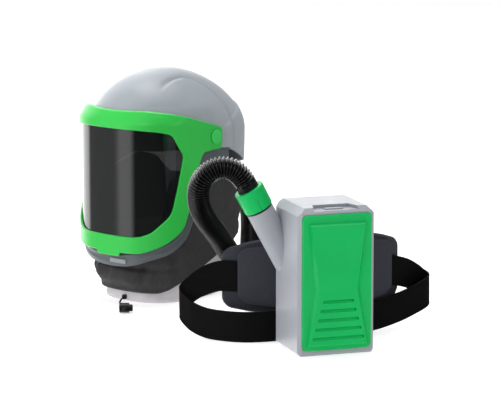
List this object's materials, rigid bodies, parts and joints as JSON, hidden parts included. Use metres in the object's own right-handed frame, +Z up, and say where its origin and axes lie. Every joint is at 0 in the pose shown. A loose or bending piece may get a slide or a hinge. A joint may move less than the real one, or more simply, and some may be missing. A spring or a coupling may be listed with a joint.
{
  "type": "powered air respirator",
  "caption": "Hard helmet with a lifting wrap-round visor and neck shroud, a corrugated breathing hose and a filter blower on a padded waist belt.",
  "frame": {"origin": "centre of the blower base, on the surface that the object stands on", "axes": "+Z up, -Y the way the blower filter cover faces, +X to the right of someone facing that cover"},
  "size_m": [0.502, 0.6941, 0.3947],
  "materials": {
    "shell_grey": "satin moulded",
    "dark_grey": "matte",
    "badge_grey": "matte",
    "green": "satin moulded",
    "bright_green": "satin moulded",
    "clear_lens": "clear",
    "black_rubber": "satin",
    "hose_rubber": "glossy",
    "steel": "brushed",
    "aluminium": "satin",
    "black_plastic": "matte",
    "strap_fabric": "woven",
    "foam": "foam",
    "charcoal_fabric": "coated cloth",
    "white_fabric": "soft cloth",
    "cord_fabric": "braided",
    "case_grey": "satin moulded",
    "board_green": "matte",
    "pad_fabric": "coated cloth",
    "webbing": "woven"
  },
  "bodies": {
    "respirator": {"helmet_shell": "shell_grey", "chin_bar": "dark_grey", "badge_plate": "badge_grey", "pivot_bolts": "steel", "head_band": "black_plastic", "crown_straps": "strap_fabric", "brow_pad": "foam", "ratchet_housing": "black_plastic", "air_duct": "black_plastic", "hose_inlet": "black_plastic", "hose_cuff_helmet": "black_rubber", "neck_shroud": "charcoal_fabric", "neck_bib": "white_fabric", "cord_eyelet": "black_plastic", "draw_cord": "cord_fabric", "cord_lock": "black_plastic", "cord_knot": "cord_fabric", "breathing_hose": "hose_rubber", "hose_cuff_blower": "black_rubber", "outlet_seal": "black_rubber", "blower_case": "case_grey", "blower_front": "case_grey", "latch_spring": "steel", "prefilter": "foam", "main_filter": "white_fabric", "filter_gasket": "black_rubber", "fan_scroll": "black_plastic", "fan_motor": "aluminium", "battery_pack": "black_plastic", "circuit_board": "board_green", "charge_socket": "black_plastic", "case_screws": "steel", "bracket_screws": "steel", "belt_bracket": "black_plastic", "belt_pad": "pad_fabric", "pad_panel": "pad_fabric", "belt_strap_left": "webbing", "belt_strap_right": "webbing", "buckle_plug": "black_plastic", "buckle_socket": "black_plastic"},
    "visor": {"visor_frame": "green", "visor_lens": "clear_lens", "visor_gasket": "black_rubber", "pivot_caps": "bright_green"},
    "collar": {"lock_collar": "green"},
    "cover": {"filter_cover": "green"},
    "latch": {"cover_latch": "case_grey"},
    "rotor": {"impeller": "badge_grey", "motor_shaft": "steel"},
    "power": {"power_button": "black_rubber"},
    "knob": {"ratchet_knob": "black_plastic"},
    "lock_push": {"lock_button": "black_plastic"},
    "buckle_push": {"buckle_button": "black_plastic"}
  },
  "joints": [
    {"name": "visor_lift", "type": "hinge", "parent": "respirator", "child": "visor", "pos_m": [-0.115, 0.497, 0.285], "axis": [-0.5075, 0.8616, 0], "range_deg": [0, 78]},
    {"name": "collar_turn", "type": "hinge", "parent": "respirator", "child": "collar", "pos_m": [-0.0973, 0.036, 0.224], "axis": [-0.4765, 0, 0.8792], "range_deg": [0, 45]},
    {"name": "cover_tilt", "type": "hinge", "parent": "respirator", "child": "cover", "pos_m": [0, -0.0585, 0.0101], "axis": [1, 0, 0], "range_deg": [0, 40]},
    {"name": "latch_slide", "type": "slide", "parent": "respirator", "child": "latch", "axis": [0, 1, 0], "range_m": [0, 0.0025], "stiffness_N_per_m": 400, "deforming": ["latch_spring"]},
    {"name": "fan_spin", "type": "hinge", "parent": "respirator", "child": "rotor", "pos_m": [0, 0, 0.096], "axis": [0, -1, 0], "continuous": true},
    {"name": "power_press", "type": "slide", "parent": "respirator", "child": "power", "axis": [-1, 0, 0], "range_m": [0, 0.0015], "stiffness_N_per_m": 600},
    {"name": "knob_turn", "type": "hinge", "parent": "respirator", "child": "knob", "pos_m": [-0.02281, 0.55131, 0.279], "axis": [0.8616, 0.5075, 0], "range_deg": [-180, 180]},
    {"name": "lock_press", "type": "slide", "parent": "respirator", "child": "lock_push", "axis": [-0.9484, 0.3171, 0], "range_m": [0, 0.003], "stiffness_N_per_m": 300},
    {"name": "buckle_press", "type": "slide", "parent": "respirator", "child": "buckle_push", "axis": [0, 1, 0], "range_m": [0, 0.0016], "stiffness_N_per_m": 600}
  ]
}
